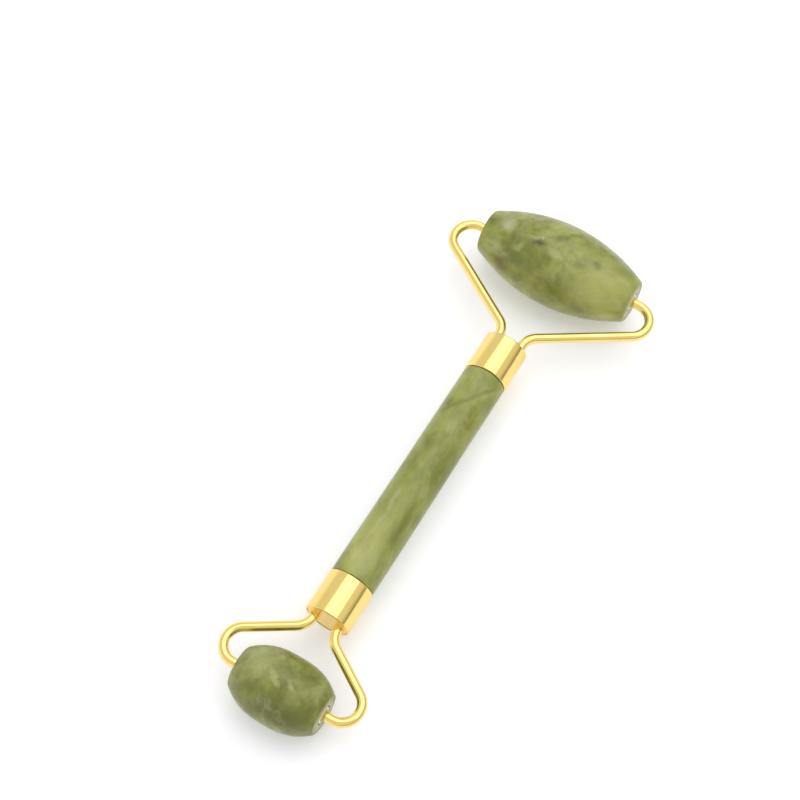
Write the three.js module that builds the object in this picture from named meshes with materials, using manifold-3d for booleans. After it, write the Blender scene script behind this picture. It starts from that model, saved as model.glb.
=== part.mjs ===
// A two-ended jade face roller, lying on a level surface on both of its rollers.
// Units are millimetres and +Z is up. The roller axles run along X, and the handle runs along Y
// with the large roller at +Y. The origin is on the surface, below the centre of the bounding box.

import * as THREE from "three";
import { mergeVertices } from "three/addons/utils/BufferGeometryUtils.js";
import Module from "manifold-3d";

// ---- driving dimensions -------------------------------------------------------------------

const AXLE_SPACING = 125; // from the large roller's axle to the small roller's axle

// endRadius: where the flank would meet the end face without its rounded edge
// fullness: how flat the middle of the barrel is; 2 is a plain bow
// edge: radius of that rounded edge
const LARGE_ROLLER = { halfLength: 20.1, bellyRadius: 10.3, endRadius: 5.25, fullness: 2.05, edge: 0.8 };
const SMALL_ROLLER = { halfLength: 10.9, bellyRadius: 8.35, endRadius: 4.8, fullness: 2.65, edge: 0.6 };
const ROLLER_SIDES = 48;
const ROLLER_STATIONS = 16; // rings along a barrel
const ROLLER_EDGE_STEPS = 3; // flats round the edge of an end face
const ROLLER_BORE_RADIUS = 2.3;

const WIRE_RADIUS = 1.18;
const WIRE_SIDES = 12;
const WIRE_STEP = 1.4; // length of one straight piece of a faceted wire
const PIN_DEPTH = 7; // how far each wire end reaches into its roller
const LEG_HALF_GAP = 3.1; // wire centre to handle axis where a leg enters its ferrule
const LEG_DEPTH = 1.3; // straight wire inside the ferrule before the hidden bend
const HIDDEN_BEND_RADIUS = 3.08; // just under LEG_HALF_GAP, so that the U keeps a short straight

// corner: where the axle line and the leg line would meet; kink: how far before the ferrule the
// leg turns parallel to the handle; reach: from the axle to the ferrule's open end
const LARGE_FORK = { corner: 37.7, loopRadius: 4.55, kink: 4.3, kinkRadius: 4.3, reach: 26.1 };
const SMALL_FORK = { corner: 27.8, loopRadius: 4.3, kink: 3.0, kinkRadius: 4.8, reach: 18.5 };

const HANDLE_RADIUS_LARGE_END = 5.3;
const HANDLE_RADIUS_SMALL_END = 5.45;
const HANDLE_SIDES = 44;
const TENON_RADIUS = 4.5;
const TENON_LENGTH = 4.2;
const TENON_CHAMFER = 0.5;

const FERRULE_LENGTH = 10.3;
const FERRULE_WALL = 0.5;
const FERRULE_OVERHANG = 0.18; // how far the ferrule stands proud of the stone
const FERRULE_LIP = 0.3; // corner radius of the ferrule's two outer edges
const FERRULE_SIDES = 44;

const CAP_THICKNESS = 1.2;
const CAP_RECESS = 0.25;
const CAP_SEGMENTS = 16; // per half circle

const BUSH_LENGTH = 8;
const BUSH_OUTER_RADIUS = 2.1;
const BUSH_INNER_RADIUS = 1.45;
const BUSH_SIDES = 24;

const SEAM = 0.12; // joint line between stone and ferrule
const CLEARANCE = 0.25; // between a glued piece and its neighbour

// ---- materials ----------------------------------------------------------------------------

const jade = new THREE.MeshStandardMaterial({ color: 0x8c9455, roughness: 0.3, metalness: 0 });
const gold = new THREE.MeshStandardMaterial({ color: 0xe6bf62, roughness: 0.15, metalness: 1 });
const nylon = new THREE.MeshStandardMaterial({ color: 0xe4e2d6, roughness: 0.5, metalness: 0 });
const epoxy = new THREE.MeshStandardMaterial({ color: 0xb9ab84, roughness: 0.6, metalness: 0 });

// ---- helpers ------------------------------------------------------------------------------

const wasm = await Module();
wasm.setup();

// A closed three.js geometry as a manifold-3d solid.
function toSolid(geometry) {
  const bare = geometry.clone();
  bare.deleteAttribute("normal");
  bare.deleteAttribute("uv");
  const merged = mergeVertices(bare, 1e-4);
  return new wasm.Manifold(
    new wasm.Mesh({
      numProp: 3,
      vertProperties: merged.attributes.position.array,
      triVerts: new Uint32Array(merged.index.array),
    }),
  );
}

function toGeometry(solid) {
  const mesh = solid.getMesh();
  const geometry = new THREE.BufferGeometry();
  geometry.setAttribute("position", new THREE.BufferAttribute(mesh.vertProperties, 3));
  geometry.setIndex(new THREE.BufferAttribute(mesh.triVerts, 1));
  geometry.computeVertexNormals();
  return geometry;
}

function piece(name, geometry, material) {
  const mesh = new THREE.Mesh(geometry, material);
  mesh.name = name;
  return mesh;
}

// A solid of revolution about Y from [radius, y] pairs that run from its low end to its high end.
function turned(profile, sides) {
  const points = profile.map(([radius, y]) => new THREE.Vector2(radius, y));
  return new THREE.LatheGeometry(points, sides);
}

// Straight runs joined by round bends: corners is a list of Vector2, radii one bend per inner corner.
function bentLine(corners, radii) {
  const path = new THREE.Path();
  path.moveTo(corners[0].x, corners[0].y);
  for (let i = 1; i < corners.length - 1; i++) {
    const arriving = corners[i].clone().sub(corners[i - 1]).normalize();
    const leaving = corners[i + 1].clone().sub(corners[i]).normalize();
    const turn = Math.acos(arriving.dot(leaving));
    const left = arriving.cross(leaving) > 0;
    const side = left ? 1 : -1;
    const setback = radii[i - 1] * Math.tan(turn / 2);
    const start = corners[i].clone().addScaledVector(arriving, -setback);
    const normal = new THREE.Vector2(-arriving.y, arriving.x).multiplyScalar(side);
    const centre = start.clone().addScaledVector(normal, radii[i - 1]);
    const angle = Math.atan2(start.y - centre.y, start.x - centre.x);
    path.lineTo(start.x, start.y);
    path.absarc(centre.x, centre.y, radii[i - 1], angle, angle + side * turn, !left);
  }
  const last = corners[corners.length - 1];
  path.lineTo(last.x, last.y);
  return path;
}

// A flat path in the XY plane as a curve in space.
class FlatCurve extends THREE.Curve {
  constructor(path) {
    super();
    this.path = path;
  }
  getPoint(t, target = new THREE.Vector3()) {
    const point = this.path.getPointAt(t);
    return target.set(point.x, point.y, 0);
  }
}

function sweptWire(path, radius) {
  const section = new THREE.Shape();
  for (let i = 0; i < WIRE_SIDES; i++) {
    const angle = (2 * Math.PI * i) / WIRE_SIDES;
    const x = radius * Math.cos(angle);
    const y = radius * Math.sin(angle);
    if (i === 0) section.moveTo(x, y);
    else section.lineTo(x, y);
  }
  section.closePath();
  return new THREE.ExtrudeGeometry(section, {
    steps: Math.round(path.getLength() / WIRE_STEP),
    extrudePath: new FlatCurve(path),
  });
}

// ---- rollers ------------------------------------------------------------------------------
// A roller is built about Y and then turned so that its axle lies along X.

// A barrel-shaped stone with flat ends, rounded edges and a bore drilled right through.
function rollerStone({ halfLength, bellyRadius, endRadius, fullness, edge }) {
  const rise = bellyRadius - endRadius;
  const flankRadius = (along) => endRadius + rise * (1 - Math.abs(along / halfLength) ** fullness);
  // the angle that the flank's outward normal makes with the axle at the end
  const lean = Math.atan2(halfLength, rise * fullness);
  const flankEnd = halfLength - edge * (1 - Math.cos(lean));
  const edgeCentre = flankRadius(flankEnd) - edge * Math.sin(lean);
  const highEdge = [];
  for (let i = 1; i <= ROLLER_EDGE_STEPS; i++) {
    const angle = lean * (1 - i / ROLLER_EDGE_STEPS);
    highEdge.push([edgeCentre + edge * Math.sin(angle), halfLength - edge * (1 - Math.cos(angle))]);
  }
  const lowEdge = highEdge.map(([radius, along]) => [radius, -along]).reverse();
  const flank = [];
  for (let i = 0; i <= ROLLER_STATIONS; i++) {
    // cosine spacing puts more rings near the ends, where the flank bends most
    const along = -Math.cos((Math.PI * i) / ROLLER_STATIONS) * flankEnd;
    flank.push([flankRadius(along), along]);
  }
  const bore = [[ROLLER_BORE_RADIUS, halfLength], [ROLLER_BORE_RADIUS, -halfLength]];
  const outline = [...lowEdge, ...flank, ...highEdge, ...bore];
  return turned([...outline, outline[0]], ROLLER_SIDES).rotateZ(Math.PI / 2);
}

// A plain sleeve that lines one end of the bore, flush with the stone's end face.
function bush(halfLength, side) {
  const inner = halfLength - BUSH_LENGTH;
  const profile = [
    [BUSH_INNER_RADIUS, inner],
    [BUSH_OUTER_RADIUS, inner],
    [BUSH_OUTER_RADIUS, halfLength],
    [BUSH_INNER_RADIUS, halfLength],
    [BUSH_INNER_RADIUS, inner],
  ];
  return turned(profile, BUSH_SIDES).rotateZ((-side * Math.PI) / 2);
}

function roller(prefix, dimensions) {
  const group = new THREE.Group();
  group.add(piece(`${prefix}_roller_stone`, rollerStone(dimensions), jade));
  for (const [label, side] of [["left", -1], ["right", 1]]) {
    group.add(piece(`${prefix}_bush_${label}`, bush(dimensions.halfLength, side), nylon));
  }
  return group;
}

// ---- forks --------------------------------------------------------------------------------
// A fork is built with its axle on X through the origin and its ferrule below, at -Y.

// One wire bent as a fork: an axle pin, a loop, a leg into the ferrule, a hidden U, and back again.
function forkPath(fork, halfLength) {
  const legEnd = -(fork.reach + LEG_DEPTH);
  const oneSide = (side) => [
    new THREE.Vector2(side * (halfLength - PIN_DEPTH), 0),
    new THREE.Vector2(side * fork.corner, 0),
    new THREE.Vector2(side * LEG_HALF_GAP, -(fork.reach - fork.kink)),
  ];
  const uCorners = [
    new THREE.Vector2(-LEG_HALF_GAP, legEnd - LEG_HALF_GAP),
    new THREE.Vector2(LEG_HALF_GAP, legEnd - LEG_HALF_GAP),
  ];
  const half = [fork.loopRadius, fork.kinkRadius, HIDDEN_BEND_RADIUS];
  const radii = [...half, ...half.toReversed()];
  return bentLine([...oneSide(-1), ...uCorners, ...oneSide(1).reverse()], radii);
}

const ferruleRadius = (handleRadius) => handleRadius + FERRULE_OVERHANG;
const ferruleBore = (handleRadius) => ferruleRadius(handleRadius) - FERRULE_WALL;

// The ferrule, a tube with softened outer edges; its open end is at y = 0 and it runs to -Y.
function ferrule(handleRadius) {
  const outer = ferruleRadius(handleRadius);
  const bore = ferruleBore(handleRadius);
  const soft = FERRULE_LIP * (1 - Math.SQRT1_2);
  const profile = [
    [bore, -FERRULE_LENGTH],
    [outer - FERRULE_LIP, -FERRULE_LENGTH],
    [outer - soft, -FERRULE_LENGTH + soft],
    [outer, -FERRULE_LENGTH + FERRULE_LIP],
    [outer, -FERRULE_LIP],
    [outer - soft, -soft],
    [outer - FERRULE_LIP, 0],
    [bore, 0],
    [bore, -FERRULE_LENGTH],
  ];
  return turned(profile, FERRULE_SIDES);
}

// The metal disc that closes the ferrule's mouth, with a hole for each leg of the wire.
function cap(handleRadius) {
  const disc = new THREE.Shape();
  disc.absarc(0, 0, ferruleBore(handleRadius) - CLEARANCE, 0, 2 * Math.PI, false);
  for (const side of [-1, 1]) {
    const hole = new THREE.Path();
    hole.absarc(side * LEG_HALF_GAP, 0, WIRE_RADIUS + CLEARANCE / 2, 0, 2 * Math.PI, true);
    disc.holes.push(hole);
  }
  const settings = { depth: CAP_THICKNESS, bevelEnabled: false, curveSegments: CAP_SEGMENTS };
  return new THREE.ExtrudeGeometry(disc, settings).rotateX(Math.PI / 2).translate(0, -CAP_RECESS, 0);
}

// The hardened epoxy behind the cap, cast round the hidden bend of the wire.
function epoxyFill(handleRadius, wirePath, reach) {
  const radius = ferruleBore(handleRadius) - CLEARANCE;
  const top = -(CAP_RECESS + CAP_THICKNESS + CLEARANCE);
  const bottom = -(FERRULE_LENGTH - TENON_LENGTH - SEAM - CLEARANCE);
  const block = turned([[0, bottom], [radius, bottom], [radius, top], [0, top]], FERRULE_SIDES);
  const wire = sweptWire(wirePath, WIRE_RADIUS + CLEARANCE).translate(0, reach, 0);
  return toGeometry(toSolid(block).subtract(toSolid(wire)));
}

function forkEnd(prefix, fork, halfLength, handleRadius) {
  const group = new THREE.Group();
  const path = forkPath(fork, halfLength);
  group.add(piece(`${prefix}_wire_fork`, sweptWire(path, WIRE_RADIUS), gold));
  const socket = new THREE.Group();
  socket.position.y = -fork.reach;
  socket.add(
    piece(`${prefix}_ferrule`, ferrule(handleRadius), gold),
    piece(`${prefix}_ferrule_cap`, cap(handleRadius), gold),
    piece(`${prefix}_epoxy_fill`, epoxyFill(handleRadius, path, fork.reach), epoxy),
  );
  group.add(socket);
  return group;
}

// ---- handle -------------------------------------------------------------------------------

// A stone rod with a thinner tenon at each end; largeEnd and smallEnd are the y of its shoulders.
function handle(smallEnd, largeEnd) {
  const tenonLow = smallEnd - TENON_LENGTH;
  const tenonHigh = largeEnd + TENON_LENGTH;
  const profile = [
    [0, tenonLow],
    [TENON_RADIUS - TENON_CHAMFER, tenonLow],
    [TENON_RADIUS, tenonLow + TENON_CHAMFER],
    [TENON_RADIUS, smallEnd],
    [HANDLE_RADIUS_SMALL_END, smallEnd],
    [HANDLE_RADIUS_LARGE_END, largeEnd],
    [TENON_RADIUS, largeEnd],
    [TENON_RADIUS, tenonHigh - TENON_CHAMFER],
    [TENON_RADIUS - TENON_CHAMFER, tenonHigh],
    [0, tenonHigh],
  ];
  return turned(profile, HANDLE_SIDES);
}

// ---- assembly -----------------------------------------------------------------------------
// The rollers differ in radius, so the frame between them slopes down a little to the small end.

const slope = Math.asin((LARGE_ROLLER.bellyRadius - SMALL_ROLLER.bellyRadius) / AXLE_SPACING);
const groundSpacing = AXLE_SPACING * Math.cos(slope);
const largeAxleY = (groundSpacing + SMALL_ROLLER.bellyRadius - LARGE_ROLLER.bellyRadius) / 2;

const faceRoller = new THREE.Group();

const largeRoller = roller("large", LARGE_ROLLER);
largeRoller.position.set(0, largeAxleY, LARGE_ROLLER.bellyRadius);
const smallRoller = roller("small", SMALL_ROLLER);
smallRoller.position.set(0, largeAxleY - groundSpacing, SMALL_ROLLER.bellyRadius);
faceRoller.add(largeRoller, smallRoller);

const frame = new THREE.Group();
frame.position.copy(largeRoller.position);
frame.rotation.x = slope;
const largeShoulder = -(LARGE_FORK.reach + FERRULE_LENGTH + SEAM);
const smallShoulder = -AXLE_SPACING + SMALL_FORK.reach + FERRULE_LENGTH + SEAM;
frame.add(piece("jade_handle", handle(smallShoulder, largeShoulder), jade));
frame.add(forkEnd("large", LARGE_FORK, LARGE_ROLLER.halfLength, HANDLE_RADIUS_LARGE_END));
const smallEnd = forkEnd("small", SMALL_FORK, SMALL_ROLLER.halfLength, HANDLE_RADIUS_SMALL_END);
smallEnd.rotation.z = Math.PI;
smallEnd.position.y = -AXLE_SPACING;
frame.add(smallEnd);
faceRoller.add(frame);

export default faceRoller;
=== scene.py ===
import math

import bmesh
import bpy
from mathutils import Matrix, Vector, noise


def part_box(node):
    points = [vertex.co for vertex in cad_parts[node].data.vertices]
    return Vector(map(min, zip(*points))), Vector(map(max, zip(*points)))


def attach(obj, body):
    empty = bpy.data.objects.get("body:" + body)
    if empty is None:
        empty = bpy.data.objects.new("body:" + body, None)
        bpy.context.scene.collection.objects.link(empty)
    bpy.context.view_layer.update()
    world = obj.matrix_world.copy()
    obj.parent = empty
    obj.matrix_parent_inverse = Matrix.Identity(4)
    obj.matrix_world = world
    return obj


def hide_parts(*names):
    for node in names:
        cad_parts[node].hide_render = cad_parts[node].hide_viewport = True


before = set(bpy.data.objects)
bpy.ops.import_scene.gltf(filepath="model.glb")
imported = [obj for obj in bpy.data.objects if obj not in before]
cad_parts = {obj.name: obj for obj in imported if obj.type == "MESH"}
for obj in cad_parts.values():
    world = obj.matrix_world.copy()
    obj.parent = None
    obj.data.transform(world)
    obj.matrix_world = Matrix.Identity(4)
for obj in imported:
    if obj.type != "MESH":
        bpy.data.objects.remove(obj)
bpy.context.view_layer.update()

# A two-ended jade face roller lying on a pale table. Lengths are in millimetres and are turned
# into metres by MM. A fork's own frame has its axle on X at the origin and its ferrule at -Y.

MM = 0.001

# ---- dimensions -----------------------------------------------------------------------------

LARGE = dict(
    prefix="large", body="large_roller", end_radius=5.25, fullness=2.05, edge=0.8,
    corner=37.7, loop=4.55, kink=4.3, kink_radius=4.3, reach=26.1, handle_radius=5.3,
)
SMALL = dict(
    prefix="small", body="small_roller", end_radius=4.8, fullness=2.65, edge=0.6,
    corner=27.8, loop=4.3, kink=3.0, kink_radius=4.8, reach=18.5, handle_radius=5.45,
)
BORE_RADIUS = 2.3
PIN_DEPTH = 7.0
WIRE_RADIUS = 1.18
LEG_HALF_GAP = 3.1
LEG_DEPTH = 1.3
HIDDEN_BEND = 3.08
TENON_RADIUS = 4.5
TENON_LENGTH = 4.2
FERRULE_LENGTH = 10.3
FERRULE_WALL = 0.5
FERRULE_OVERHANG = 0.18
FERRULE_LIP = 0.3
CAP_THICKNESS = 1.3
CAP_RECESS = 0.12
CAP_GAP = 0.03
BUSH_LENGTH = 8.0
BUSH_OUTER = 2.1
BUSH_INNER = 1.45
SEAM = 0.12


# ---- mesh helpers ---------------------------------------------------------------------------

def finish_mesh(name, bm, material, sharp_degrees=38):
    """A new object from bm, smooth but for its sharp corners, wearing one material."""
    bmesh.ops.recalc_face_normals(bm, faces=bm.faces)
    mesh = bpy.data.meshes.new(name)
    bm.to_mesh(mesh)
    bm.free()
    mesh.shade_smooth()
    mesh.set_sharp_from_angle(angle=math.radians(sharp_degrees))
    mesh.materials.append(material)
    obj = bpy.data.objects.new(name, mesh)
    bpy.context.scene.collection.objects.link(obj)
    return obj


def ring_strip(bm, rings, closed):
    """Faces between neighbouring rings of vertices; closed joins the last ring to the first."""
    pairs = list(zip(rings, rings[1:] + rings[:1]))
    if not closed:
        pairs.pop()
    for low, high in pairs:
        sides = max(len(low), len(high))
        for i in range(sides):
            j = (i + 1) % sides
            corners = [low[i % len(low)], low[j % len(low)],
                       high[j % len(high)], high[i % len(high)]]
            distinct = list(dict.fromkeys(corners))
            if len(distinct) > 2:
                bm.faces.new(distinct)


def turned(profile, sides, closed=True, offset=None):
    """A solid of revolution about Y from (radius, along) pairs.

    offset(point) says how far to move a point outward.
    """
    bm = bmesh.new()
    rings = []
    for radius, along in profile:
        if radius == 0:
            rings.append([bm.verts.new((0, along * MM, 0))])
            continue
        ring = []
        for i in range(sides):
            angle = 2 * math.pi * i / sides
            out = Vector((math.cos(angle), 0, math.sin(angle)))
            point = out * radius + Vector((0, along, 0))
            if offset:
                point += out * offset(point)
            ring.append(bm.verts.new(point * MM))
        rings.append(ring)
    ring_strip(bm, rings, closed)
    return bm


def arc(centre, radius, start, end, steps):
    """Points of a round corner, angles in degrees, as (x, y) pairs."""
    points = []
    for i in range(steps + 1):
        angle = math.radians(start + (end - start) * i / steps)
        points.append((centre[0] + radius * math.cos(angle), centre[1] + radius * math.sin(angle)))
    return points


def place(obj, matrix, body, slot, *nodes):
    """Puts a finished piece in its place and says its body and what it replaces; slot is not used."""
    obj.matrix_world = matrix
    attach(obj, body)
    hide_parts(*nodes)
    return obj


# ---- node helpers ---------------------------------------------------------------------------

class Tree:
    """Short words for building one material's nodes."""

    def __init__(self, name):
        self.material = bpy.data.materials.new(name)
        self.material.use_nodes = True
        self.nodes = self.material.node_tree.nodes
        self.links = self.material.node_tree.links
        self.shader = self.nodes["Principled BSDF"]

    def feed(self, socket, value):
        if isinstance(value, bpy.types.NodeSocket):
            self.links.new(value, socket)
        else:
            socket.default_value = value

    def node(self, kind, inputs=(), **settings):
        made = self.nodes.new(kind)
        for key, value in settings.items():
            setattr(made, key, value)
        for key, value in dict(inputs).items():
            self.feed(made.inputs[key], value)
        return made

    def math(self, operation, a, b=0.0):
        made = self.node("ShaderNodeMath", {0: a, 1: b}, operation=operation)
        return made.outputs[0]

    def vector(self, operation, a, b=(0, 0, 0)):
        made = self.node("ShaderNodeVectorMath", {0: a, 1: b}, operation=operation)
        return made.outputs["Value" if operation in ("LENGTH", "DOT_PRODUCT") else "Vector"]

    def scaled(self, vector, factor):
        made = self.node("ShaderNodeVectorMath", {0: vector, "Scale": factor}, operation="SCALE")
        return made.outputs["Vector"]

    def place(self, offset=(0, 0, 0), turn=(0, 0, 0), stretch=(1, 1, 1)):
        """The piece's own coordinates in metres, moved, turned (degrees) and stretched."""
        coordinate = self.node("ShaderNodeTexCoord").outputs["Object"]
        rotation = tuple(math.radians(a) for a in turn)
        inputs = {"Vector": coordinate, "Location": offset, "Rotation": rotation, "Scale": stretch}
        return self.node("ShaderNodeMapping", inputs).outputs["Vector"]

    def noise(self, vector, size, detail=2.0, rough=0.5, distort=0.0, colour=False):
        """Noise from 0 to 1 whose lumps are about size millimetres across."""
        inputs = {"Vector": vector, "Scale": 1 / (size * MM), "Detail": detail,
                  "Roughness": rough, "Distortion": distort}
        made = self.node("ShaderNodeTexNoise", inputs)
        return made.outputs["Color" if colour else "Fac"]

    def range(self, value, low, high, to_low=0.0, to_high=1.0, smooth=True):
        inputs = {"Value": value, "From Min": low, "From Max": high,
                  "To Min": to_low, "To Max": to_high}
        kind = "SMOOTHSTEP" if smooth else "LINEAR"
        return self.node("ShaderNodeMapRange", inputs, interpolation_type=kind).outputs["Result"]

    def mix(self, factor, a, b, blend="MIX"):
        made = self.node("ShaderNodeMix", data_type="RGBA", blend_type=blend)
        self.feed(made.inputs["Factor"], factor)
        for socket, value in ((made.inputs[6], a), (made.inputs[7], b)):
            self.feed(socket, (*value, 1) if isinstance(value, tuple) else value)
        return made.outputs[2]

    def ramp(self, value, stops):
        made = self.node("ShaderNodeValToRGB", {"Fac": value})
        band = made.color_ramp
        while len(band.elements) < len(stops):
            band.elements.new(0.5)
        for element, (at, colour) in zip(band.elements, stops):
            element.position = at
            element.color = (*colour, 1)
        return made.outputs["Color"]

    def bump(self, height, distance, strength=1.0):
        inputs = {"Height": height, "Distance": distance * MM, "Strength": strength}
        return self.node("ShaderNodeBump", inputs).outputs["Normal"]

    def set(self, **values):
        for key, value in values.items():
            self.feed(self.shader.inputs[key.replace("_", " ")], value)
        return self.material


# ---- jade -----------------------------------------------------------------------------------

SAWN = (0.520, 0.530, 0.340)
DEEP_OLIVE = (0.115, 0.120, 0.022)
OLIVE = (0.175, 0.185, 0.033)
LEAF = (0.245, 0.265, 0.054)
LIGHT_LEAF = (0.320, 0.340, 0.084)
HONEY = (0.440, 0.445, 0.125)
PALE = (0.440, 0.455, 0.190)
# milky white, for the stone's milky clouds and spots and for painted highlights
MILK_AND_PAINTED_HIGHLIGHT = (0.500, 0.500, 0.300)
GREY_GREEN = (0.085, 0.085, 0.032)
MOSS = (0.128, 0.160, 0.026)
MUSTARD = (0.205, 0.190, 0.018)
BROWN = (0.130, 0.098, 0.020)


def on_barrel(along, angle, radius):
    """A point in a roller stone: along the axle, degrees from the top towards -Y, out from the axle."""
    turn = math.radians(angle)
    return along, -radius * math.sin(turn), radius * math.cos(turn)


def on_rod(along, angle, radius):
    """A point in the handle: along it, degrees from the top towards +X, out from its middle."""
    turn = math.radians(angle)
    return radius * math.sin(turn), along, radius * math.cos(turn)


def jade(name, seed, turn, stretch, balance, variety, patches, sheets=(), cut_end=None):
    """Mottled translucent stone, with painted light and shade in some of its patches.

    seed offsets the pattern, turn and stretch lay its grain, balance lightens or darkens it, and
    variety says how much the broad, the middling and the fine mottling count.
    patches are (centre, radii, spin about Z in degrees, colour, strength), in the piece's millimetres.
    sheets are dark seams: (point, normal, half thickness, reach, colour, strength).
    cut_end is how far along X the flat sawn ends begin; they are paler and duller.
    """
    t = Tree(name)
    own = t.place()
    grain = t.place(seed, turn, stretch)
    swirl = t.noise(grain, 17, detail=2, rough=0.5, colour=True)
    swirl = t.scaled(t.vector("SUBTRACT", swirl, (0.5, 0.5, 0.5)), 8 * MM)
    flowing = t.vector("ADD", grain, swirl)

    broad = t.noise(flowing, 12, detail=3, rough=0.5)
    medium = t.noise(flowing, 4.0, detail=5, rough=0.6)
    fine = t.noise(grain, 0.9, detail=4, rough=0.6)
    tone = 0.5 - 0.5 * sum(variety) + balance
    for layer, share in zip((broad, medium, fine), variety):
        tone = t.math("ADD", t.math("MULTIPLY", layer, share), tone)
    colour = t.ramp(tone, [
        (0.33, DEEP_OLIVE), (0.42, OLIVE), (0.50, LEAF), (0.58, LIGHT_LEAF), (0.70, PALE),
    ])

    # patches with edges that fray along the grain
    ragged = t.noise(flowing, 3.2, detail=4, rough=0.6, colour=True)
    ragged = t.scaled(t.vector("SUBTRACT", ragged, (0.5, 0.5, 0.5)), 3.6 * MM)
    frayed = t.vector("ADD", own, ragged)
    for centre, radii, spin, patch, strength in patches:
        moved = t.vector("SUBTRACT", frayed, tuple(c * MM for c in centre))
        if spin:
            inputs = {"Vector": moved, "Angle": math.radians(-spin)}
            moved = t.node("ShaderNodeVectorRotate", inputs, rotation_type="Z_AXIS").outputs["Vector"]
        unit = t.vector("MULTIPLY", moved, tuple(1 / (r * MM) for r in radii))
        inside = t.range(t.vector("LENGTH", unit), 1.25, 0.2, 0.0, strength)
        colour = t.mix(inside, colour, patch)

    wavering = t.vector("ADD", own, t.scaled(ragged, 0.45))
    for point, normal, half_thickness, reach, seam, strength in sheets:
        moved = t.vector("SUBTRACT", wavering, tuple(c * MM for c in point))
        depth = t.math("ABSOLUTE", t.vector("DOT_PRODUCT", moved, tuple(Vector(normal).normalized())))
        near = t.range(t.vector("LENGTH", moved), reach * MM, 0.5 * reach * MM)
        thin = t.range(depth, half_thickness * MM, 0.0, 0.0, strength)
        colour = t.mix(t.math("MULTIPLY", thin, near), colour, seam)

    # milky clouds, a few dark threads and light wisps
    cloud = t.noise(flowing, 6.5, detail=4, rough=0.6)
    colour = t.mix(t.range(cloud, 0.58, 0.78, 0.0, 0.30), colour, MILK_AND_PAINTED_HIGHLIGHT)
    thread = t.noise(flowing, 11, detail=2, rough=0.45)
    thread = t.math("ABSOLUTE", t.math("SUBTRACT", thread, 0.5))
    where = t.range(t.noise(grain, 9, detail=2), 0.50, 0.62)
    thread = t.math("MULTIPLY", t.range(thread, 0.030, 0.0), where)
    colour = t.mix(t.math("MULTIPLY", thread, 0.15), colour, GREY_GREEN)
    wisp = t.noise(t.vector("ADD", flowing, (0.31, 0.17, 0.23)), 8, detail=3, rough=0.5)
    wisp = t.math("ABSOLUTE", t.math("SUBTRACT", wisp, 0.5))
    colour = t.mix(t.range(wisp, 0.045, 0.0, 0.0, 0.16), colour, PALE)

    # the whole of it clouded a little lighter and darker
    mottle = t.range(t.noise(flowing, 2.8, detail=4, rough=0.5), 0.3, 0.7, 0.88, 1.12, smooth=False)
    colour = t.mix(1.0, colour, mottle, blend="MULTIPLY")

    dull = t.range(t.noise(grain, 5, detail=4), 0.35, 0.65, 0.24, 0.34, smooth=False)
    if cut_end:
        along = t.node("ShaderNodeSeparateXYZ", {"Vector": own}).outputs["X"]
        along = t.math("ABSOLUTE", along)
        sawn = t.range(along, (cut_end - 0.1) * MM, (cut_end - 0.02) * MM, smooth=False)
        out = t.vector("LENGTH", t.vector("MULTIPLY", frayed, (0, 1, 1)))
        # the sawn ends are paler towards the bore
        paler_to_bore = t.range(out, 4.4 * MM, 3.2 * MM, 0.35, 0.8)
        colour = t.mix(t.math("MULTIPLY", sawn, paler_to_bore), colour, SAWN)
        dull = t.math("ADD", dull, t.math("MULTIPLY", sawn, 0.22))
    height = t.math("ADD", t.math("MULTIPLY", medium, 0.7), t.math("MULTIPLY", fine, 0.3))
    t.set(
        Base_Color=colour,
        Roughness=dull,
        IOR=1.56,
        Specular_IOR_Level=0.32,
        Subsurface_Weight=0.30,
        Subsurface_Radius=(1.0, 0.95, 0.40),
        Subsurface_Scale=2.0 * MM,
        Normal=t.bump(height, 0.03, 0.5),
    )
    return t.material


# ---- gold, nylon and epoxy ------------------------------------------------------------------

GOLD = (0.930, 0.690, 0.170)
DEEP_GOLD = (0.900, 0.610, 0.120)
GOLD_EDGE = (1.0, 0.82, 0.36, 1.0)  # polished gold looks redder where it is seen edge on


def gold(name, seed, stretch):
    """Lacquered gold plating: thin in places, with faint polishing marks drawn out along stretch."""
    t = Tree(name)
    grain = t.place(seed, stretch=stretch)
    cloud = t.noise(grain, 5, detail=3)
    marks = t.noise(grain, 0.5, detail=4, rough=0.6)
    rough = t.math("ADD", t.range(cloud, 0.3, 0.7, 0.10, 0.16), t.math("MULTIPLY", marks, 0.05))
    t.set(
        Base_Color=t.mix(t.range(cloud, 0.35, 0.7, 0.0, 0.35), GOLD, DEEP_GOLD),
        Metallic=1.0,
        Specular_Tint=GOLD_EDGE,
        Roughness=rough,
        Coat_Weight=1.0,
        Coat_IOR=1.8,
        Coat_Roughness=0.10,
        Normal=t.bump(marks, 0.004, 0.5),
    )
    return t.material


def nylon(name):
    """Off-white moulded sleeve with a slight cloudiness."""
    t = Tree(name)
    cloud = t.noise(t.place(), 1.5, detail=3)
    t.set(
        Base_Color=t.mix(t.range(cloud, 0.3, 0.7), (0.74, 0.72, 0.63), (0.84, 0.83, 0.76)),
        Roughness=t.range(cloud, 0.3, 0.7, 0.40, 0.52),
        Subsurface_Weight=0.2,
        Subsurface_Scale=0.8 * MM,
        Normal=t.bump(cloud, 0.01),
    )
    return t.material


BUBBLE_SIZE = 0.8


def epoxy(name):
    """Amber cast epoxy with small bubbles."""
    t = Tree(name)
    own = t.place()
    bubbles = t.node("ShaderNodeTexVoronoi", {"Vector": own, "Scale": 1 / (BUBBLE_SIZE * MM)})
    bubbles = bubbles.outputs["Distance"]
    t.set(
        Base_Color=t.mix(t.noise(own, 2, detail=3), (0.42, 0.33, 0.15), (0.56, 0.47, 0.26)),
        Roughness=t.range(bubbles, 0.0, 0.6, 0.35, 0.6),
        Normal=t.bump(bubbles, 0.05),
    )
    return t.material


# ---- rollers --------------------------------------------------------------------------------

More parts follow.
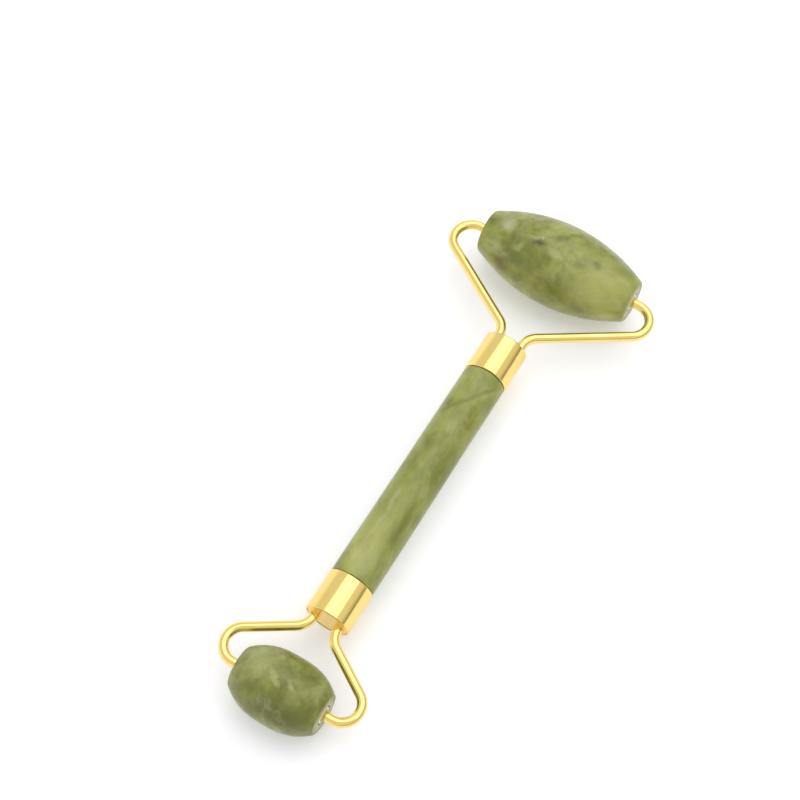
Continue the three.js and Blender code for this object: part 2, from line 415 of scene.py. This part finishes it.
BARREL_STATIONS = 110
BARREL_SIDES = 176
BUSH_SIDES = 48
EDGE_STEPS = 9
BORE_CHAMFER = 0.2
UNEVENNESS = 0.06


def barrel(half_length, belly, end_radius, fullness, edge, seed):
    """A hand-ground barrel about Y with rounded edges and a bore right through."""
    rise = belly - end_radius
    # the angle that the flank's outward normal makes with the axle at the end
    lean = math.atan2(half_length, rise * fullness)
    flank_end = half_length - edge * (1 - math.cos(lean))
    flank = []
    for i in range(BARREL_STATIONS + 1):
        along = flank_end * -math.cos(math.pi * i / BARREL_STATIONS)
        flank.append((end_radius + rise * (1 - abs(along / half_length) ** fullness), along))
    rim = flank[-1][0] - edge * math.sin(lean)
    high = arc((rim, half_length - edge), edge, 90 - math.degrees(lean), 90, EDGE_STEPS)[1:]
    low = [(radius, -along) for radius, along in reversed(high)]
    inside = [
        (BORE_RADIUS + BORE_CHAMFER, half_length),
        (BORE_RADIUS, half_length - BORE_CHAMFER),
        (BORE_RADIUS, -half_length + BORE_CHAMFER),
        (BORE_RADIUS + BORE_CHAMFER, -half_length),
    ]

    def ground(point):
        if math.hypot(point.x, point.z) < BORE_RADIUS + 1:
            return 0
        return UNEVENNESS * noise.noise(point / 6 + Vector(seed))

    return turned(low + flank + high + inside, BARREL_SIDES, offset=ground)


def bush():
    """A plain sleeve about Y from y = 0 inwards to y = -BUSH_LENGTH, with eased edges."""
    ease = 0.12
    foot = -BUSH_LENGTH
    profile = [
        (BUSH_INNER, foot), (BUSH_OUTER - ease, foot), (BUSH_OUTER, foot + ease),
        (BUSH_OUTER, -ease), (BUSH_OUTER - ease, 0), (BUSH_INNER + ease, 0), (BUSH_INNER, -ease),
    ]
    return turned(profile, BUSH_SIDES)


def centre_of(node):
    low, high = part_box(node)
    return (low + high) / 2


def roller(end, stone_material, sleeve_material, seed):
    prefix, body = end["prefix"], end["body"]
    stone_node = f"{prefix}_roller_stone"
    low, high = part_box(stone_node)
    half_length = (high.x - low.x) / 2 / MM
    belly = (high.z - low.z) / 2 / MM
    # the barrel is made about Y and lies along X
    centre = Matrix.Translation(centre_of(stone_node))
    bm = barrel(half_length, belly, end["end_radius"], end["fullness"], end["edge"], seed)
    bm.transform(Matrix.Rotation(-math.pi / 2, 4, "Z"))
    stone = finish_mesh(f"{prefix}_roller_stone_ground", bm, stone_material)
    place(stone, centre, body, "green_jade", stone_node)
    for label, side in (("left", -1), ("right", 1)):
        node = f"{prefix}_bush_{label}"
        bm = bush()
        end_face = Matrix.Translation((side * half_length * MM, 0, 0))
        bm.transform(end_face @ Matrix.Rotation(-side * math.pi / 2, 4, "Z"))
        sleeve = finish_mesh(f"{node}_moulded", bm, sleeve_material)
        place(sleeve, centre, body, "white_nylon", node)


# ---- forks ----------------------------------------------------------------------------------

BEND_STEP = 5  # degrees of bend from one ring of the wire to the next
WIRE_SIDES = 28
FERRULE_SIDES = 128
CAP_SIDES = 96
CAP_HOLE_SIDES = 32


def bent_line(corners, radii):
    """Points of straight runs joined by round bends."""
    points = [corners[0]]
    for before, corner, after, radius in zip(corners, corners[1:], corners[2:], radii):
        arriving = (corner - before).normalized()
        leaving = (after - corner).normalized()
        turn = math.atan2(arriving.cross(leaving), arriving.dot(leaving))
        side = math.copysign(1, turn)
        start = corner - arriving * radius * math.tan(abs(turn) / 2)
        centre = start + Vector((-arriving.y, arriving.x)) * side * radius
        steps = max(2, round(math.degrees(abs(turn)) / BEND_STEP))
        spoke = start - centre
        for i in range(steps + 1):
            points.append(centre + Matrix.Rotation(turn * i / steps, 2) @ spoke)
    points.append(corners[-1])
    return points


def fork_corners(end, half_length):
    leg_end = -(end["reach"] + LEG_DEPTH)
    sides = []
    for side in (-1, 1):
        sides.append([
            Vector((side * (half_length - PIN_DEPTH), 0)),
            Vector((side * end["corner"], 0)),
            Vector((side * LEG_HALF_GAP, -(end["reach"] - end["kink"]))),
            Vector((side * LEG_HALF_GAP, leg_end - LEG_HALF_GAP)),
        ])
    radii = [end["loop"], end["kink_radius"], HIDDEN_BEND]
    return sides[0] + sides[1][::-1], radii + radii[::-1]


def swept_wire(points):
    """A round wire along flat points, with eased ends."""
    ease = 0.2
    last = len(points) - 1
    stations = []
    for i, point in enumerate(points):
        before = points[max(i - 1, 0)]
        after = points[min(i + 1, last)]
        along = (after - before).normalized()
        stations.append((point, along, WIRE_RADIUS))
    start, start_way, _ = stations[0]
    stop, stop_way, _ = stations[-1]
    stations[0] = (start + start_way * ease, start_way, WIRE_RADIUS)
    stations.insert(0, (start, start_way, WIRE_RADIUS - ease))
    stations[-1] = (stop - stop_way * ease, stop_way, WIRE_RADIUS)
    stations.append((stop, stop_way, WIRE_RADIUS - ease))

    bm = bmesh.new()
    rings = []
    for point, along, size in stations:
        across = Vector((-along.y, along.x))
        ring = []
        for k in range(WIRE_SIDES):
            angle = 2 * math.pi * k / WIRE_SIDES
            flat = point + across * size * math.cos(angle)
            ring.append(bm.verts.new(Vector((flat.x, flat.y, size * math.sin(angle))) * MM))
        rings.append(ring)
    ring_strip(bm, rings, closed=False)
    bm.faces.new(rings[0][::-1])
    bm.faces.new(rings[-1])
    return bm


def ferrule(handle_radius):
    """A tube about Y from its mouth at y = 0 to y = -FERRULE_LENGTH, with rolled outer edges."""
    outer = handle_radius + FERRULE_OVERHANG
    bore = outer - FERRULE_WALL
    ease = 0.1
    mouth = arc((outer - FERRULE_LIP, -FERRULE_LIP), FERRULE_LIP, 0, 90, 6)
    foot = [(radius, -FERRULE_LENGTH - along) for radius, along in reversed(mouth)]
    inside = [
        (bore + ease, 0), (bore, -ease),
        (bore, ease - FERRULE_LENGTH), (bore + ease, -FERRULE_LENGTH),
    ]
    return turned(foot + mouth + inside, FERRULE_SIDES)


def cap(handle_radius):
    """A disc about Y with eased rims and a hole for each leg of the wire."""
    radius = handle_radius + FERRULE_OVERHANG - FERRULE_WALL - CAP_GAP
    hole = WIRE_RADIUS + CAP_GAP
    ease = 0.06
    bm = bmesh.new()

    def loop(centre_x, size, sides, y):
        made = []
        for i in range(sides):
            angle = 2 * math.pi * i / sides
            point = Vector((centre_x + size * math.cos(angle), y, size * math.sin(angle)))
            made.append(bm.verts.new(point * MM))
        return made

    top, bottom = -CAP_RECESS, -CAP_RECESS - CAP_THICKNESS
    edges_of = {top: [], bottom: []}
    for centre_x, size, sides, inward in (
        (0, radius, CAP_SIDES, -1),
        (-LEG_HALF_GAP, hole, CAP_HOLE_SIDES, 1),
        (LEG_HALF_GAP, hole, CAP_HOLE_SIDES, 1),
    ):
        rings = [
            loop(centre_x, size + inward * ease, sides, top),
            loop(centre_x, size, sides, top - ease),
            loop(centre_x, size, sides, bottom + ease),
            loop(centre_x, size + inward * ease, sides, bottom),
        ]
        ring_strip(bm, rings, closed=False)
        for ring, y in ((rings[0], top), (rings[-1], bottom)):
            for a, b in zip(ring, ring[1:] + ring[:1]):
                edges_of[y].append(bm.edges.get((a, b)))
    for edges in edges_of.values():
        bmesh.ops.triangle_fill(bm, edges=edges, use_beauty=True)
    return bm


def fork(end, matrix, wire_material, sheet_material, cap_material):
    prefix = end["prefix"]
    low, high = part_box(f"{prefix}_roller_stone")
    corners, radii = fork_corners(end, (high.x - low.x) / 2 / MM)
    bm = swept_wire(bent_line(corners, radii))
    wire = finish_mesh(f"{prefix}_wire_fork_drawn", bm, wire_material)
    place(wire, matrix, "frame", "gold_plate", f"{prefix}_wire_fork")
    socket = matrix @ Matrix.Translation((0, -end["reach"] * MM, 0))
    bm = ferrule(end["handle_radius"])
    sheet = finish_mesh(f"{prefix}_ferrule_spun", bm, sheet_material)
    place(sheet, socket, "frame", "gold_plate", f"{prefix}_ferrule")
    bm = cap(end["handle_radius"])
    disc = finish_mesh(f"{prefix}_ferrule_cap_pressed", bm, cap_material)
    place(disc, socket, "frame", "gold_plate", f"{prefix}_ferrule_cap")


# ---- handle ---------------------------------------------------------------------------------

HANDLE_STATIONS = 90
HANDLE_SIDES = 128
HANDLE_EDGE = 0.25
HANDLE_UNEVENNESS = 0.05


def handle(small_shoulder, large_shoulder):
    """The stone rod about Y, with its tenons, between its two shoulders."""
    ease = 0.4
    small_radius, large_radius = SMALL["handle_radius"], LARGE["handle_radius"]
    length = large_shoulder - small_shoulder - 2 * HANDLE_EDGE
    rod = []
    for i in range(HANDLE_STATIONS + 1):
        share = i / HANDLE_STATIONS
        along = small_shoulder + HANDLE_EDGE + length * share
        rod.append((small_radius + (large_radius - small_radius) * share, along))
    low_centre = (small_radius - HANDLE_EDGE, small_shoulder + HANDLE_EDGE)
    low_edge = arc(low_centre, HANDLE_EDGE, -90, 0, 4)
    high_centre = (large_radius - HANDLE_EDGE, large_shoulder - HANDLE_EDGE)
    high_edge = arc(high_centre, HANDLE_EDGE, 0, 90, 4)
    low, high = small_shoulder - TENON_LENGTH, large_shoulder + TENON_LENGTH
    profile = [
        (0, low), (TENON_RADIUS - ease, low), (TENON_RADIUS, low + ease),
        (TENON_RADIUS, small_shoulder),
    ]
    profile += low_edge[:-1] + rod + high_edge[1:]
    profile += [
        (TENON_RADIUS, large_shoulder), (TENON_RADIUS, high - ease),
        (TENON_RADIUS - ease, high), (0, high),
    ]

    def ground(point):
        if math.hypot(point.x, point.z) < TENON_RADIUS + 0.1:
            return 0
        return HANDLE_UNEVENNESS * noise.noise(point / 9 + Vector((3, 5, 7)))

    return turned(profile, HANDLE_SIDES, closed=False, offset=ground)


# ---- assembly -------------------------------------------------------------------------------

large_axle = centre_of("large_roller_stone")
small_axle = centre_of("small_roller_stone")
run = large_axle - small_axle
slope = math.atan2(run.z, run.y)
at_large = Matrix.Translation(large_axle) @ Matrix.Rotation(slope, 4, "X")
at_small = at_large @ Matrix.Translation((0, -run.length, 0)) @ Matrix.Rotation(math.pi, 4, "Z")

LARGE_PATCHES = [
    # These three broad patches are partly the stone's own tone and partly painted light: a painted glow
    # at the right end and along its lower right edge, and painted shade over the left half.
    (on_barrel(13, 34, 8.4), (9, 9, 8), 0, HONEY, 0.72),
    (on_barrel(16, 70, 7.2), (6, 5, 5), 0, HONEY, 0.60),
    (on_barrel(-9, 35, 9), (9, 9, 8), 0, OLIVE, 0.52),
    (on_barrel(15, -20, 7.6), (3.2, 2.2, 2.5), 20, LEAF, 0.65),
    (on_barrel(8.8, 50, 9.4), (1.4, 2.2, 2.2), 0, PALE, 0.25),
    (on_barrel(9.6, 2, 9.1), (1.8, 1.0, 1.3), -10, DEEP_OLIVE, 0.55),
    (on_barrel(6.6, 17, 9.7), (2.0, 1.4, 1.4), 0, OLIVE, 0.55),
    (on_barrel(4, 69, 10), (3.4, 2.6, 3.4), 0, OLIVE, 0.60),
    (on_barrel(9, 90, 9.2), (3.4, 3, 3), 0, OLIVE, 0.45),
    (on_barrel(-3.5, 57, 10), (2.4, 2.0, 2.2), 0, MUSTARD, 0.60),
    (on_barrel(-12, 73, 8.6), (2.8, 3, 3), 0, BROWN, 0.70),
    (on_barrel(-8.4, 46, 9.5), (2.6, 2.6, 2.6), -25, MOSS, 0.65),
    (on_barrel(-11.6, 21, 8.7), (1.2, 1.6, 1.6), 0, MOSS, 0.60),
    (on_barrel(1.6, -20, 10.2), (5.4, 1.0, 3), 45, OLIVE, 0.75),
    (on_barrel(-1.4, -4, 10.2), (3.4, 1.0, 2), 30, DEEP_OLIVE, 0.50),
    (on_barrel(-14.4, 4, 7.9), (2.6, 2.6, 2.4), 0, MILK_AND_PAINTED_HIGHLIGHT, 0.70),
    (on_barrel(-15, 47, 7.6), (1.9, 2.4, 2.2), 0, PALE, 0.50),
    (on_barrel(-17, 25, 6.8), (1.5, 2.2, 2), 0, LIGHT_LEAF, 0.50),
    (on_barrel(-9.6, 33, 9.4), (2.4, 0.9, 1.6), 50, PALE, 0.45),
    (on_barrel(-6.4, 9, 9.8), (3.2, 0.8, 1.4), 12, PALE, 0.45),
    (on_barrel(-3.4, 31, 10.1), (2.6, 1.6, 1.8), -20, LEAF, 0.55),
    (on_barrel(-0.2, 20, 10.2), (2.2, 1.5, 1.5), 0, PALE, 0.65),
    (on_barrel(3.4, 26, 10.1), (3.0, 0.7, 1.4), -15, PALE, 0.45),
    (on_barrel(-5.0, 16, 10), (2.2, 1.2, 1.6), 15, GREY_GREEN, 0.95),
    (on_barrel(-4.6, 8, 10.1), (0.7, 0.35, 0.8), -30, MILK_AND_PAINTED_HIGHLIGHT, 0.70),
]
SMALL_PATCHES = [
    # painted light: the top of the stone made lighter
    (on_barrel(-5.8, -12, 7.4), (5.2, 5.2, 4.5), 0, PALE, 0.50),
    (on_barrel(2.5, -46, 8), (3.6, 3.6, 3.6), 0, LEAF, 0.70),
    (on_barrel(-7, 24, 7), (3.2, 3.2, 3.2), 0, LIGHT_LEAF, 0.35),
    # painted shade: the lower front of the stone, towards its right end, made darker
    (on_barrel(3.6, 52, 7.8), (8.6, 4.8, 5.0), 0, DEEP_OLIVE, 0.85),
    (on_barrel(9.2, 24, 6.3), (2.2, 2.0, 2.0), 0, BROWN, 0.45),
    (on_barrel(8.4, 43, 6.5), (2.4, 1.5, 1.6), 0, MOSS, 0.60),
    (on_barrel(-0.8, -22, 8.3), (2.2, 2.0, 1.8), 0, OLIVE, 0.55),
    (on_barrel(3.4, -20, 8), (1.7, 1.7, 1.7), 0, OLIVE, 0.75),
    (on_barrel(8.4, -14, 6.3), (1.6, 1.6, 1.6), 0, PALE, 0.45),
    (on_barrel(-0.9, 5, 8.3), (2.8, 0.7, 1.2), -31, PALE, 0.65),
    (on_barrel(3.1, 0, 8.1), (2.4, 0.7, 1.2), -35, PALE, 0.60),
]
HANDLE_PATCHES = [
    (on_rod(-88, -8, 5.3), (5.5, 14, 4.5), 0, HONEY, 0.62),
    (on_rod(-46, -30, 5.3), (4, 9, 3.5), 0, LEAF, 0.45),
    (on_rod(-60, 35, 5.3), (2.4, 11, 3), 0, OLIVE, 0.35),
    (on_rod(-81, 34, 5.3), (1.8, 4.2, 2), 0, OLIVE, 0.30),
    (on_rod(-63, -26, 5.3), (1.4, 9.5, 2), 0, OLIVE, 0.60),
    (on_rod(-49.3, 40, 5.3), (1.6, 2.6, 1.8), 0, MUSTARD, 0.50),
    (on_rod(-47.6, -34, 5.3), (1.4, 1.8, 1.5), 0, DEEP_OLIVE, 0.65),
    (on_rod(-70.5, 37, 5.3), (1.3, 2.2, 1.5), 0, PALE, 0.45),
    (on_rod(-92, 10, 5.3), (4.0, 4.0, 3.0), 0, PALE, 0.35),
    (on_rod(-41, 35, 5.3), (1.8, 2.8, 1.8), 0, PALE, 0.45),
    (on_rod(-53, 5, 5.3), (1.3, 2.2, 1.3), 0, PALE, 0.35),
    # painted highlights: two thin pale streaks along the top of the rod, where the softbox is reflected
    (on_rod(-84, -12, 5.3), (0.95, 10.5, 1.6), 0, MILK_AND_PAINTED_HIGHLIGHT, 0.32),
    (on_rod(-75.5, -16, 5.3), (0.9, 3.2, 1.3), 0, MILK_AND_PAINTED_HIGHLIGHT, 0.38),
]
HANDLE_SHEETS = [
    (on_rod(-44.4, 12, 5.3), (0.809, -0.588, -0.4), 0.9, 11, OLIVE, 0.65),
]

white_nylon = nylon("white_nylon_bush")
large_jade = jade(
    "jade_large_stone", (0.13, 0.02, 0.31), (20, 10, 35), (0.8, 1, 1), 0.0, (0.28, 0.46, 0.12),
    LARGE_PATCHES, cut_end=20.1,
)
small_jade = jade(
    "jade_small_stone", (0.41, 0.27, 0.05), (0, 30, -50), (1, 1, 1), -0.055, (0.18, 0.40, 0.12),
    SMALL_PATCHES, cut_end=10.9,
)
roller(LARGE, large_jade, white_nylon, (1.7, 4.2, 0.9))
roller(SMALL, small_jade, white_nylon, (6.1, 2.3, 8.8))

ferrule_gold = gold("gold_ferrule", (0.02, 0.05, 0.01), (1.0, 0.12, 1.0))
wire_gold = gold("gold_wire", (0.11, 0.07, 0.03), (1.0, 1.0, 1.0))
cap_gold = gold("gold_cap", (0.21, 0.17, 0.13), (1.0, 1.0, 1.0))
fork(LARGE, at_large, wire_gold, ferrule_gold, cap_gold)
fork(SMALL, at_small, wire_gold, ferrule_gold, cap_gold)

large_shoulder = -(LARGE["reach"] + FERRULE_LENGTH + SEAM)
small_shoulder = -run.length / MM + SMALL["reach"] + FERRULE_LENGTH + SEAM
handle_jade = jade(
    "jade_handle_stone", (0.23, 0.36, 0.19), (0, 0, 12), (1, 0.5, 1), 0.01, (0.16, 0.34, 0.10),
    HANDLE_PATCHES, HANDLE_SHEETS,
)
rod = finish_mesh("jade_handle_ground", handle(small_shoulder, large_shoulder), handle_jade)
place(rod, at_large, "frame", "green_jade", "jade_handle")

amber = epoxy("epoxy_amber")
for node in ("large_epoxy_fill", "small_epoxy_fill"):
    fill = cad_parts[node]
    fill.data.materials.clear()
    fill.data.materials.append(amber)

# ---- table, light and camera ----------------------------------------------------------------

TABLE_GLOW = 0.2  # the light table shines a little from below
TABLE_SIZE = 4.0
TABLE_GAP = 0.02 * MM  # keeps the stones clear of the table's face


def table_material():
    t = Tree("table_white")
    grain = t.noise(t.place(), 30, detail=3)
    t.set(
        Base_Color=t.mix(grain, (0.895, 0.900, 0.935), (0.915, 0.920, 0.955)),
        Roughness=0.6,
        Specular_IOR_Level=0.2,
        Emission_Color=(1, 1, 1, 1),
        Emission_Strength=TABLE_GLOW,
    )
    return t.material


bm = bmesh.new()
bmesh.ops.create_grid(bm, x_segments=8, y_segments=8, size=TABLE_SIZE)
table = finish_mesh("table", bm, table_material())
table.location = (0, 0, -TABLE_GAP)


# edges and height of the softboxes and of the rail between them, in metres
SOFTBOX_FRONT = -0.1
SOFTBOX_BACK = 1.4
SOFTBOX_HEIGHT = 1.3
SOFTBOX_DEPTH = SOFTBOX_BACK - SOFTBOX_FRONT
SOFTBOX_MIDDLE = (SOFTBOX_FRONT + SOFTBOX_BACK) / 2
RAIL_LEFT = 0.55
RAIL_RIGHT = 0.60


def panel(name, left, right, radiance):
    """A level softbox over the table, shining straight down."""
    lamp = bpy.data.lights.new(name, "AREA")
    lamp.shape = "RECTANGLE"
    lamp.size = right - left
    lamp.size_y = SOFTBOX_DEPTH
    lamp.energy = radiance * math.pi * lamp.size * lamp.size_y
    obj = bpy.data.objects.new(name, lamp)
    obj.location = ((left + right) / 2, SOFTBOX_MIDDLE, SOFTBOX_HEIGHT)
    bpy.context.scene.collection.objects.link(obj)
    return obj


panel("main_softbox", left=-0.55, right=RAIL_LEFT, radiance=1.19)
panel("side_softbox", left=RAIL_RIGHT, right=1.10, radiance=1.15)


def dark_rail():
    """The matt rail between the two softboxes, which polished metal mirrors as a thin line."""
    t = Tree("rail_black")
    soot = t.noise(t.place(), 40, detail=2)
    t.set(Base_Color=t.mix(soot, (0.012, 0.011, 0.010), (0.02, 0.02, 0.02)), Roughness=0.9)
    bm = bmesh.new()
    bmesh.ops.create_grid(bm, x_segments=1, y_segments=1, size=0.5)
    middle = ((RAIL_LEFT + RAIL_RIGHT) / 2, SOFTBOX_MIDDLE, SOFTBOX_HEIGHT + 0.01)
    spread = Matrix.Diagonal((RAIL_RIGHT - RAIL_LEFT, SOFTBOX_DEPTH, 1, 1))
    bm.transform(Matrix.Translation(middle) @ spread)
    return finish_mesh("rail", bm, t.material)


dark_rail()


ROOM = 0.82
LEFT_WALL = 1.15
RIGHT_WALL = 0.25
SEEN_DIRECTLY = 1.0


def studio_world():
    """A white room, even overhead, whose walls go from bright on the left to dim on the right."""
    world = bpy.data.worlds.new("studio")
    world.use_nodes = True
    nodes, links = world.node_tree.nodes, world.node_tree.links

    def node(kind, **settings):
        made = nodes.new(kind)
        for key, value in settings.items():
            setattr(made, key, value)
        return made

    def ranged(value, low, high, to_low, to_high):
        made = node("ShaderNodeMapRange", interpolation_type="SMOOTHSTEP")
        links.new(value, made.inputs["Value"])
        inputs = {"From Min": low, "From Max": high, "To Min": to_low, "To Max": to_high}
        for key, number in inputs.items():
            if isinstance(number, float):
                made.inputs[key].default_value = number
            else:
                links.new(number, made.inputs[key])
        return made.outputs["Result"]

    way = node("ShaderNodeSeparateXYZ")
    links.new(node("ShaderNodeTexCoord").outputs["Generated"], way.inputs[0])
    wall = ranged(way.outputs["X"], -0.5, 0.7, LEFT_WALL, RIGHT_WALL)
    room = ranged(way.outputs["Z"], 0.02, 0.42, wall, ROOM)
    camera_ray = node("ShaderNodeLightPath").outputs["Is Camera Ray"]
    strength = ranged(camera_ray, 0.0, 1.0, room, SEEN_DIRECTLY)
    nodes["Background"].inputs["Color"].default_value = (1, 1, 1, 1)
    links.new(strength, nodes["Background"].inputs["Strength"])
    return world


bpy.context.scene.world = studio_world()

bpy.context.scene.view_settings.view_transform = "Standard"
bpy.context.scene.view_settings.look = "None"

AZIMUTH = math.radians(31.04)
ELEVATION = math.radians(62.26)
TARGET = Vector((-14.4, 10.3, 9.4)) * MM
DISTANCE = 422.5 * MM
LENS = 81.04
SENSOR_WIDTH = 36
outward = Vector((
    math.sin(AZIMUTH) * math.cos(ELEVATION),
    -math.cos(AZIMUTH) * math.cos(ELEVATION),
    math.sin(ELEVATION),
))
camera = bpy.data.objects.new("camera", bpy.data.cameras.new("camera"))
bpy.context.scene.collection.objects.link(camera)
camera.location = TARGET + outward * DISTANCE
camera.rotation_euler = (-outward).to_track_quat("-Z", "Y").to_euler()
camera.data.sensor_width = SENSOR_WIDTH
camera.data.lens = LENS
camera.data.clip_start = 0.01
camera.data.clip_end = 20
bpy.context.scene.camera = camera
